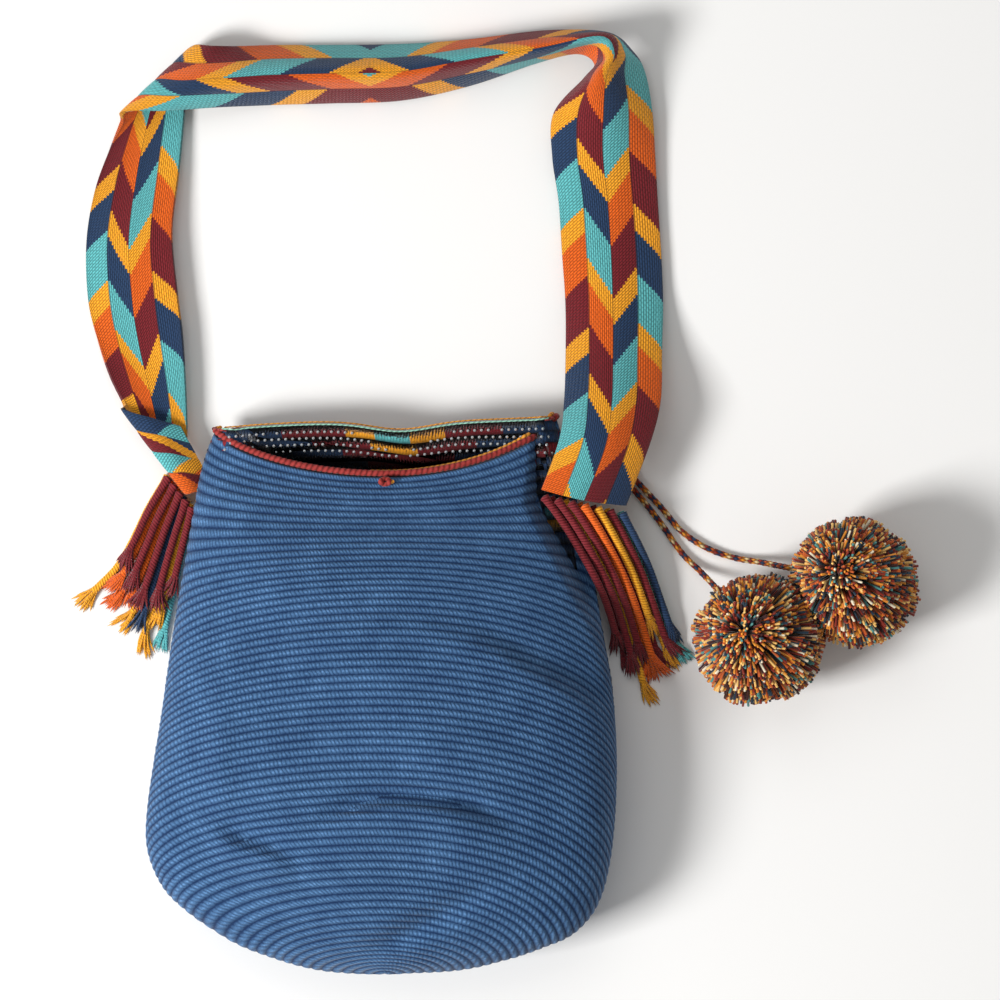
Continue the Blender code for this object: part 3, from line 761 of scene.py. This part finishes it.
DRAW_A = [
    (117, 148, 18), (128, 149, 13), (139, 146, 5.5), (148, 140, 2.6), (157, 130, 2.3),
    (167, 117, 2.3), (179, 100, 2.3), (189, 90, 4.5), (197, 81.5, 13), (201.2, 76.4, 20),
]
DRAW_B = [
    (119, 154, 18), (130, 156, 14), (142, 152, 6), (151, 144, 2.6), (160, 134.5, 2.3), (167, 127, 2.3),
    (179, 113, 2.3), (194, 103, 2.3), (211, 97, 2.4), (226, 94.5, 6), (236, 92.5, 15), (242.6, 91.3, 24),
]
BALL_A, BALL_B = np.array((224.4, 48.6, 37.0)), np.array((281.0, 82.2, 36.5))


def over_body(x, y):
    """Height of the cushion a loose cord lies on: the front skin, then a slope down to the table."""
    left, right = outline_at(y)
    if left < x < right:
        flank, crown = curve_at(FLANK, y), curve_at(CROWN, y)
        z = flank + (crown - flank) * inside(x, y) ** 0.72
        return float(z + (min(z, flank + 5) - z) * crease(x, y))
    away = (left - x) if x <= left else (x - right)
    return float((curve_at(FLANK, y) + 5) * max(0.0, 1 - away / 42))


def fan_line(fan, lane, length, height, steps=10):
    """Route of one warp end. height(x, y, t) is its centre above the table."""
    edges = [smooth_line(edge, 20) for edge in fan]
    points = []
    for i in range(steps + 1):
        t = length * i / steps
        q = min(t * 20, len(edges[0]) - 1.001)
        near, far = [e[int(q)] + (e[int(q) + 1] - e[int(q)]) * (q % 1) for e in edges]
        x, y = near + (far - near) * lane
        points.append((x, y, float(height(x, y, t))))
    return points


def left_route(layer, lane, length):
    return fan_line(LEFT_FAN, lane, length, lambda x, y, t: 2.5 + 4.6 * layer)


def right_route(layer, lane, length):
    """Over the flank of the pouch, then down to the table."""
    start = 42 - 12 * ramp((lane - 0.45) / 0.55) if layer else 35.5 - 13 * ramp((lane - 0.4) / 0.6)

    def height(x, y, t):
        under = over_body(x, y)
        if x > outline_at(y)[1]:
            under *= 1 - ramp((t - 2.4) / 2.0)
        lie = under + 2.4 + 1.6 * ramp(under / 6) + (5.0 + 0.9 * ramp(under / 6)) * layer
        return lie + (max(start, lie) - lie) * (1 - ramp(t / 2.0))
    return fan_line(RIGHT_FAN, lane, length, height, 12)


# ---- pieces -------------------------------------------------------------------------------------
class MOCHILA_OT_pouch(bpy.types.Operator):
    """Crocheted pouch: base and wall in one spiral of rounds, with the patterned band under the mouth"""
    bl_idname = "mochila.pouch"
    bl_label = "Crocheted pouch"

    def execute(self, context):
        size = context.scene.mochila_pouch
        bm = bmesh.new()
        around, rounds = (bm.verts.layers.float.new(k) for k in ("around", "rounds"))
        for nx, ny, wall, sign in ((264, ROUND_COUNT * 4, 0.0, 1), (264, 60, size.wall / MM, -1)):
            new, _, a, b = lay_grid(bm, nx, ny, lambda a, b: skin(2 * a, b, wall), weave_round)
            for v, p, q in zip(new, a, b):
                v[around], v[rounds] = p, q * sign
        bmesh.ops.remove_doubles(bm, verts=bm.verts, dist=0.00002)
        bmesh.ops.bridge_loops(bm, edges=[e for e in bm.edges if e.is_boundary])
        bmesh.ops.recalc_face_normals(bm, faces=bm.faces)
        for f in bm.faces:
            back = sum(v[around] for v in f.verts) / len(f.verts) > 0.5
            f.material_index = int(back and abs(sum(v[rounds] for v in f.verts)) / len(f.verts) > 0.60)
        yarn, groove_shade = tuple(size.yarn), tuple(size.groove_shade)
        obj = finish_mesh("bag_body_crochet", bm, [
            crochet("single_crochet_acrylic", yarn, groove_shade, size.stitches)[0],
            tapestry(yarn, groove_shade, size.stitches),
        ], turn=False)
        # every round stands out of the groove beside it
        mesh = obj.data
        count = len(mesh.vertices)
        co, normal, height = np.empty(count * 3), np.empty(count * 3), np.empty(count)
        mesh.vertices.foreach_get("co", co)
        mesh.vertex_normals.foreach_get("vector", normal)
        mesh.attributes["rounds"].data.foreach_get("value", height)
        lift = (np.abs(np.sin(np.pi * height * ROUND_COUNT)) ** 0.8 - 0.8) * size.round_relief * (height >= 0)
        lift[co[2::3] < 0.0004] = 0
        mesh.vertices.foreach_set("co", co + normal * np.repeat(lift, 3))
        mesh.update()
        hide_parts("bag_body")
        return {"FINISHED"}


EDGE = {"maroon": "#8e2b27", "amber": "#d98f2c", "turquoise": "#86b8a4"}
KNOT = (0.5, 143.0, 48.6)


def rim_line(a, out, lift):
    """Line round the mouth, out past the middle of its edge and lifted off it towards the outside."""
    one = np.ones(len(a))
    edge, inner, below = skin(a, one), skin(a, one, 4.0), skin(a, one * 0.97)
    wide = skin(a + 0.02, one) - skin(a - 0.02, one)
    wide /= np.linalg.norm(wide, axis=1)[:, None]
    ahead = edge - below
    ahead -= wide * (ahead * wide).sum(axis=1)[:, None]
    ahead /= np.linalg.norm(ahead, axis=1)[:, None]
    outside = np.cross(ahead, wide)
    outside *= np.sign((outside * (edge - inner)).sum(axis=1))[:, None]
    return (edge + inner) / 2 + ahead * np.reshape(out, (-1, 1)) + outside * lift


class MOCHILA_OT_edging(bpy.types.Operator):
    """Crocheted edging: three rounds in three colours laid over the lip, and the knot that ends them"""
    bl_idname = "mochila.edging"
    bl_label = "Edging"

    def execute(self, context):
        wide = context.scene.mochila_pouch.edging / MM
        steps = 560
        a = 2.0 * np.arange(steps + 1) / steps
        # the lip rolls outwards in front, so its crest and inner round show there and lie hidden behind
        front = ramp((1.06 - a) / 0.06) * ramp(a / 0.04) + ramp((a - 1.96) / 0.04)
        rolled = 1 - 0.85 * ramp((a - 0.13) / 0.05) * ramp((0.475 - a) / 0.02)
        bm = bmesh.new()
        for out, lift, thick, slot, show in (
            (1.2, 1.9, wide * 1.12, 0, 0.45 + 0.55 * front),
            (3.2, -0.7, wide * 0.80, 1, 0.35 + 0.65 * front * rolled),
            (1.8, -3.2, wide * 0.78, 2, 0.35 + 0.65 * front * rolled),
        ):
            sink = 1.6 * (1 - show)
            line = rim_line(a, out - sink * 1.5, lift)
            line[:, 2] = np.maximum(line[:, 2], wide / 2 + 0.1)
            run = np.concatenate([[0], np.cumsum(np.linalg.norm(np.diff(line, axis=0), axis=1))])

            def radius(theta, at):
                # each stitch of the round is a bead that leans over the next one
                bead = 0.78 + 0.22 * np.abs(np.sin(np.pi * at / 3.3 + theta * 0.5))
                return thick / 2 * bead * np.interp(at, run, show)

            for f in tube(bm, line, radius, 10, closed=True):
                f.material_index = slot
        yarns = [twisted_yarn("crochet_edge_" + k, linear(c), 3.3, 1) for k, c in EDGE.items()]
        edging = finish_mesh("rim_edging_rounds", bm, yarns)
        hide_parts("rim_edging")
        bm = bmesh.new()
        x, y, z = KNOT
        t = np.linspace(0, 2 * np.pi * 2.2, 70)
        coil = [x + 2.7 * np.cos(t), y + 1.6 * np.sin(t), z - 1.2 + 2.6 * t / t[-1] + 0.8 * np.cos(2 * t)]
        tube(bm, np.stack(coil, axis=1), rope_radius(3.0, 2, 4.0), 10)
        tail = smooth_line(
            [(x + 1.8, y, z + 1.2), (x + 3.6, y - 0.4, z + 1.4), (x + 5.0, y + 0.4, z + 0.6)], 6
        )
        for f in tube(bm, tail, lambda theta, at: 1.15 + 0 * at, 8):
            f.material_index = 1
        knot = finish_mesh("edging_knot_loops", bm, yarns[:2])
        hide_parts("edging_knot")
        return {"FINISHED"}


class MOCHILA_OT_studs(bpy.types.Operator):
    """Small bright studs, one to every second stitch, on the patterned band inside the mouth"""
    bl_idname = "mochila.studs"
    bl_label = "Studs"

    def execute(self, context):
        size = context.scene.mochila_pouch
        bm = bmesh.new()
        rng = random.Random(3)
        for k in range(15):
            v = 1.0 - (0.72 * k + 0.8) / ROUND_COUNT
            for x in np.arange(-96 + 2.1 * (k % 2), 100, 4.2):
                deep = 2.7 * (k + 1) + BAND_SLOPE * abs(x - 9.6)
                if deep < 9.5 or rng.random() < 0.06:
                    continue
                a = np.full(2, 2 - math.acos(max(-0.995, min(0.995, -x / 104))) / math.pi)
                p, q = skin(a, np.full(2, v), np.array((4.3, 5.3)))
                made = bmesh.ops.create_icosphere(bm, subdivisions=1, radius=size.stud / 2)["verts"]
                bmesh.ops.translate(bm, verts=made, vec=Vector((p + (q - p) * 0.3) * MM))
        studs = finish_mesh("band_studs", bm, [stud_metal()], weld=1e-6, smooth=False)
        return {"FINISHED"}


class MOCHILA_OT_strap(bpy.types.Operator):
    """Woven shoulder strap: one warp-faced band, pinched into a ridge, folded over twice on its left"""
    bl_idname = "mochila.strap"
    bl_label = "Woven strap"

    def execute(self, context):
        size = context.scene.mochila_strap
        steps, wide = 14, 28
        rails = [smooth_line([s[k] for s in STRAP], steps) for k in range(3)]
        inner, mid, outer = rails
        bulge = (mid - (inner + outer) / 2) * 0.18
        five = [inner, (inner + mid) / 2 + bulge, mid, (mid + outer) / 2 + bulge, outer]
        skin_rows = np.stack([smooth_line([rail[j] for rail in five], wide // 4) for j in range(len(mid))])
        # a soft swell over every lane, so the band does not read as card
        lane = np.abs(np.sin(np.linspace(0, 4, wide + 1) * np.pi)) ** 0.5
        across = np.gradient(skin_rows, axis=1)
        along = np.gradient(skin_rows, axis=0)
        normal = np.cross(across, along)
        normal /= np.linalg.norm(normal, axis=2)[..., None] + 1e-9
        wave = 0.35 * np.sin(np.arange(len(mid))[:, None] / 9.0 + np.linspace(0, 3, wide + 1)[None, :])
        skin_rows = skin_rows + normal * (0.35 * lane[None, :] + wave)[..., None]
        run = np.concatenate([[0], np.cumsum(np.linalg.norm(np.diff(mid, axis=0), axis=1))])
        top = int(np.argmin(np.abs(mid[:, 0] + 9) + 1000 * (mid[:, 1] < 300)))
        n = len(mid) - 1
        # colour blocks are a little shorter along the top, on either side of where the pattern turns round
        away = run - run[top]
        worked = run - np.sign(away) * np.where(away < 0, 7.0, 13.0) * (1 - np.exp(-((away / 90) ** 2)))

        def place(a, b):
            j, k = np.rint(b * n).astype(int), np.rint(a * wide).astype(int)
            return skin_rows[j, k]

        bm = bmesh.new()
        lay_grid(bm, wide, n, place, lambda a, b: (a * STRAP_WIDTH, worked[np.rint(b * n).astype(int)]))
        bmesh.ops.recalc_face_normals(bm, faces=bm.faces)
        band = woven_band(size.cycle / MM, size.stitch / MM, float(run[top]), STRAP_WIDTH)
        obj = finish_mesh("strap_woven", bm, [band], turn=False)
        thick = obj.modifiers.new("thickness", "SOLIDIFY")
        thick.thickness = size.thickness
        thick.offset = 0
        soft = obj.modifiers.new("edge", "BEVEL")
        soft.width = 0.5 * MM
        soft.segments = 2
        soft.limit_method = "ANGLE"
        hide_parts("strap")
        return {"FINISHED"}


def splay(bm, line, diameter, count, seed, reach):
    """Frayed end: plies that part and bend away past the end of a cord."""
    rng = random.Random(seed)
    end, ahead = line[-1], line[-1] - line[-6]
    ahead[2] *= 0.3
    ahead /= np.linalg.norm(ahead)
    side = np.cross(ahead, (0, 0, 1.0))
    side /= np.linalg.norm(side)
    up = np.cross(side, ahead)
    lean = rng.uniform(-0.35, 0.35)
    for _ in range(count):
        turn, out = rng.uniform(0, 2 * math.pi), rng.uniform(0.1, 1.0) ** 0.7
        across = side * math.cos(turn) + up * math.sin(turn)
        far, bend = reach * rng.uniform(0.55, 1.05), rng.uniform(-2.6, 2.6)
        points = []
        for t in (0, 0.2, 0.4, 0.6, 0.8, 1.0):
            p = end + across * diameter * 0.3 + ahead * ((4 + far) * t - 4)
            p = p + side * (math.cos(turn) * out * 5.2 * t**1.4 + bend * t * t + lean * far * t * t)
            floor = 0.55 + 0.9 * rng.random()
            points.append((p[0], p[1], max(p[2] + math.sin(turn) * out * 2.0 * t - 5.0 * t * t, floor)))
        tube(bm, smooth_line(points, 1), lambda theta, at: 0.62 + 0 * at, 4)


class MOCHILA_OT_fringes(bpy.types.Operator):
    """Fringes: the strap's own warp ends, twisted into cords that fray at the tip"""
    bl_idname = "mochila.fringes"
    bl_label = "Fringes"

    def execute(self, context):
        wide = context.scene.mochila_cords.fringe / MM
        yarns = {k: twisted_yarn(f"twisted_acrylic_{k}", c) for k, c in YARNS.items()}
        for side, table, route in (("left", LEFT_FRINGE, left_route), ("right", RIGHT_FRINGE, right_route)):
            for number, (layer, lane, length, colour) in enumerate(table, 1):
                line = resample(smooth_line(route(layer, lane, length), 6), 0.8)
                twist = rope_radius(wide * 1.12, 3, 5.4)
                bm = bmesh.new()
                tube(bm, line, lambda theta, at: twist(theta, at) * (1 + 0.45 * np.exp(-at / 3)), 12)
                for v in bm.verts:
                    v.co.z = max(v.co.z, 0.1 * MM)
                name = f"fringe_{side}_{number:02d}"
                cord = finish_mesh(name + "_twist", bm, [yarns[colour]])
                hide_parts(name)
                bm = bmesh.new()
                splay(bm, line, wide, 30, 40 * number + len(side), 15.0)
                tip = finish_mesh(name + "_frayed_tip", bm, [yarns[colour]])
        return {"FINISHED"}


def radiate(count, seed, radius, tie, axis, cut, floor):
    """Lines of cut strands that spread from a tied heart, and a number for the colour of each.

    Tips stop at the plane where the other ball presses, cut millimetres along axis, and at the floor.
    """
    rng = np.random.default_rng(seed)
    turn = np.arange(count) * math.pi * (3 - math.sqrt(5))
    up = 1 - (2 * np.arange(count) + 1) / count
    flat = np.sqrt(1 - up**2)
    out = np.stack([np.cos(turn) * flat, np.sin(turn) * flat, up], axis=1)
    # neighbours lean together in tufts, which leaves dark gaps between
    tufts = rng.normal(size=(count // 16, 3))
    tufts /= np.linalg.norm(tufts, axis=1)[:, None]
    near = np.argmax(out @ tufts.T, axis=1)
    out = out + 0.34 * (tufts[near] - out) + rng.normal(scale=0.045, size=out.shape)
    out /= np.linalg.norm(out, axis=1)[:, None]
    far = radius * (0.99 + rng.normal(scale=0.03, size=len(tufts))[near] + rng.uniform(-0.045, 0.03, count))
    tip = out * far[:, None]
    reach = tip @ axis
    tip *= np.minimum(1, cut / np.maximum(reach, 1e-6))[:, None] * (reach > 0)[:, None] + (reach <= 0)[
        :, None
    ]
    tip[:, 2] = np.maximum(tip[:, 2], floor)
    root = tie * 0.75 + out * radius * 0.30
    root[:, 2] = np.maximum(root[:, 2], floor)
    middle = root + (tip - root) * 0.58 + rng.normal(scale=0.9, size=tip.shape)
    middle[:, 2] = np.maximum(middle[:, 2], floor)
    return np.stack([root, middle, tip, tip + out * 0.25], axis=1), rng.random(count)


class MOCHILA_OT_pompoms(bpy.types.Operator):
    """Two pompoms of cut yarn that press against each other, on the ends of the drawstring"""
    bl_idname = "mochila.pompoms"
    bl_label = "Pompoms"

    def execute(self, context):
        size = context.scene.mochila_cords
        thick, doublings = size.strand / MM / 2, round(math.log2(size.strands))
        count = 2**doublings
        yarn = cut_yarn()
        gap = float(np.linalg.norm(BALL_B - BALL_A))
        radii = size.ball_a / MM, size.ball_b / MM
        share = (gap * gap + radii[0] ** 2 - radii[1] ** 2) / (2 * gap) + 3
        balls = (
            ("a", BALL_A, BALL_B, share, (-9, 5, 15)), ("b", BALL_B, BALL_A, gap - share + 6, (-10, 7, 15))
        )
        for seed, (radius, (key, centre, other, cut, tie)) in enumerate(zip(radii, balls), 5):
            axis, floor = (other - centre) / gap, thick + 0.2 - centre[2]
            line, colour = radiate(count, seed, radius, np.array(tie), axis, cut, floor)
            bm = bmesh.new()
            strand, reach = (bm.verts.layers.float.new(k) for k in ("strand", "reach"))
            new, _, a, b = lay_grid(
                bm, 4, 3, lambda a, b: np.stack([a, b, 0 * a], axis=1), lambda a, b: (a, b)
            )
            for _ in range(doublings):
                bmesh.ops.duplicate(bm, geom=bm.verts[:] + bm.edges[:] + bm.faces[:])
            ring, theta = np.rint(3 * b).astype(int), 2 * np.pi * a
            side = np.cross(line[:, 2] - line[:, 0], (0.3, 0.2, 1.0))
            side /= np.linalg.norm(side, axis=1)[:, None] + 1e-9
            rise = np.cross(line[:, 2] - line[:, 0], side)
            rise /= np.linalg.norm(rise, axis=1)[:, None] + 1e-9
            wide = thick * np.array((0.8, 1.0, 1.1, 0.0))[ring]
            round_it = side[:, None] * (wide * np.cos(theta))[None, :, None]
            round_it += rise[:, None] * (wide * np.sin(theta))[None, :, None]
            spots = (line[:, ring] + round_it + centre).reshape(-1, 3) * MM
            # reach of each ring of a strand, which the yarn shader turns into painted shade at the root and a
            # painted highlight at the tip
            lit = np.array((0.1, 0.62, 0.94, 1.12))[ring]
            for v, p, k, r in zip(bm.verts, spots, np.repeat(colour, len(new)), np.tile(lit, count)):
                v.co = p
                v[strand], v[reach] = k, r
            core = bmesh.ops.create_icosphere(bm, subdivisions=3, radius=radius * 0.62 * MM)["verts"]
            bmesh.ops.translate(bm, verts=core, vec=Vector(centre * MM))
            # the inner ball gets a brown strand colour and a low reach, so it is painted nearly black: painted
            # shade deep inside the pompom
            for v in core:
                v[strand], v[reach] = 0.7, 0.2
            obj = finish_mesh(f"pompom_{key}_cut_yarn", bm, [yarn], weld=5e-7)
            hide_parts("pompom_" + key)
        return {"FINISHED"}


class MOCHILA_OT_drawstring(bpy.types.Operator):
    """The two free ends of the braided drawstring, from the wall of the bag to the pompoms"""
    bl_idname = "mochila.drawstring"
    bl_label = "Drawstring"

    def execute(self, context):
        wide = context.scene.mochila_cords.drawstring / MM
        plait = braid()
        for key, route, ball in (("a", DRAW_A, BALL_A), ("b", DRAW_B, BALL_B)):
            # the last stretch runs into the ball, where the cord is tied
            inside_ball = np.array(route[-1]) * 0.82 + ball * 0.18
            line = resample(smooth_line([*route, tuple(inside_ball)], 12), 0.9)

            def radius(theta, run):
                around, along = 4 * theta / (2 * np.pi), run / BRAID_PITCH
                p, q = around + along, around - along
                return wide / 2 * (0.84 + 0.18 * np.abs(np.sin(np.pi * p) * np.sin(np.pi * q)))

            bm = bmesh.new()
            tube(bm, line, radius, 20)
            cord = finish_mesh(f"drawstring_cord_{key}_braid", bm, [plait])
            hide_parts(f"drawstring_cord_{key}")
        return {"FINISHED"}


class MOCHILA_OT_stage(bpy.types.Operator):
    """Pale floor, soft light from the left, and the camera straight over the bag"""
    bl_idname = "mochila.stage"
    bl_label = "Stage"

    def execute(self, context):
        size = context.scene.mochila_stage
        scene = context.scene
        cam = bpy.data.objects.new("camera", bpy.data.cameras.new("camera"))
        cam.data.sensor_width = 36
        cam.data.lens = 36 * size.distance / 0.6
        cam.data.clip_end = 30
        cam.location = (0.069, 0.132, size.distance + 0.03)
        scene.collection.objects.link(cam)
        scene.camera = cam
        bm = bmesh.new()
        bmesh.ops.create_grid(bm, x_segments=2, y_segments=2, size=6)
        bmesh.ops.translate(bm, verts=bm.verts, vec=(0, 0, -0.0004))
        mesh = bpy.data.meshes.new("floor")
        bm.to_mesh(mesh)
        bm.free()
        floor = bpy.data.objects.new("floor", mesh)
        scene.collection.objects.link(floor)
        mat, tree, shader = new_material("matt_paper_floor", 0.9)
        grain = add(tree, "TexNoise", {0: add(tree, "TexCoord", out=3), "Scale": 3.0, "Detail": 2.0})
        duller = tuple(c * 0.985 for c in size.floor)
        paper = add(tree, "Mix", {0: grain, 6: tuple(size.floor), 7: duller}, 2, data_type="RGBA")
        tree.links.new(paper, shader.inputs["Base Color"])
        mesh.materials.append(mat)
        for name, place, energy, wide in (
            ("key", (-2.0, -0.75, 1.95), 98.0, 0.9), ("fill", (-0.4, 1.6, 2.4), 14.0, 2.0)
        ):
            lamp = bpy.data.lights.new(name, "AREA")
            lamp.energy, lamp.size = energy, wide
            light = bpy.data.objects.new(name, lamp)
            light.location = place
            aim = Vector((0.05, 0.1, 0.0)) - Vector(place)
            light.rotation_euler = aim.to_track_quat("-Z", "Y").to_euler()
            scene.collection.objects.link(light)
        world = bpy.data.worlds.new("studio")
        world.use_nodes = True
        world.node_tree.nodes["Background"].inputs["Color"].default_value = (1.0, 1.0, 1.0, 1.0)
        world.node_tree.nodes["Background"].inputs["Strength"].default_value = 0.34
        scene.world = world
        scene.view_settings.view_transform = "Standard"
        return {"FINISHED"}


class MOCHILA_PT_panel(bpy.types.Panel):
    """Builds the bag piece by piece"""
    bl_idname = "MOCHILA_PT_panel"
    bl_label = "Mochila"
    bl_space_type = "VIEW_3D"
    bl_region_type = "UI"
    bl_category = "Mochila"

    def draw(self, context):
        scene = context.scene
        for group in (scene.mochila_pouch, scene.mochila_strap, scene.mochila_cords, scene.mochila_stage):
            for key in group.__annotations__:
                self.layout.prop(group, key)
        for operator in OPERATORS:
            self.layout.operator(operator.bl_idname)


OPERATORS = [
    MOCHILA_OT_stage, MOCHILA_OT_pouch, MOCHILA_OT_edging, MOCHILA_OT_studs, MOCHILA_OT_strap,
    MOCHILA_OT_fringes, MOCHILA_OT_pompoms, MOCHILA_OT_drawstring,
]
GROUPS = {
    "mochila_pouch": MochilaPouch, "mochila_strap": MochilaStrap, "mochila_cords": MochilaCords,
    "mochila_stage": MochilaStage,
}


def register():
    for group in GROUPS.values():
        bpy.utils.register_class(group)
    for name, group in GROUPS.items():
        setattr(bpy.types.Scene, name, PointerProperty(type=group))
    for cls in [*OPERATORS, MOCHILA_PT_panel]:
        bpy.utils.register_class(cls)


def unregister():
    for cls in [MOCHILA_PT_panel, *OPERATORS[::-1]]:
        bpy.utils.unregister_class(cls)
    for name in GROUPS:
        delattr(bpy.types.Scene, name)
    for group in GROUPS.values():
        bpy.utils.unregister_class(group)


def main():
    register()
    bpy.ops.mochila.stage()
    bpy.ops.mochila.pouch()
    bpy.ops.mochila.edging()
    bpy.ops.mochila.studs()
    bpy.ops.mochila.strap()
    bpy.ops.mochila.fringes()
    bpy.ops.mochila.pompoms()
    bpy.ops.mochila.drawstring()
    bpy.context.view_layer.update()


if __name__ == "__main__":
    main()
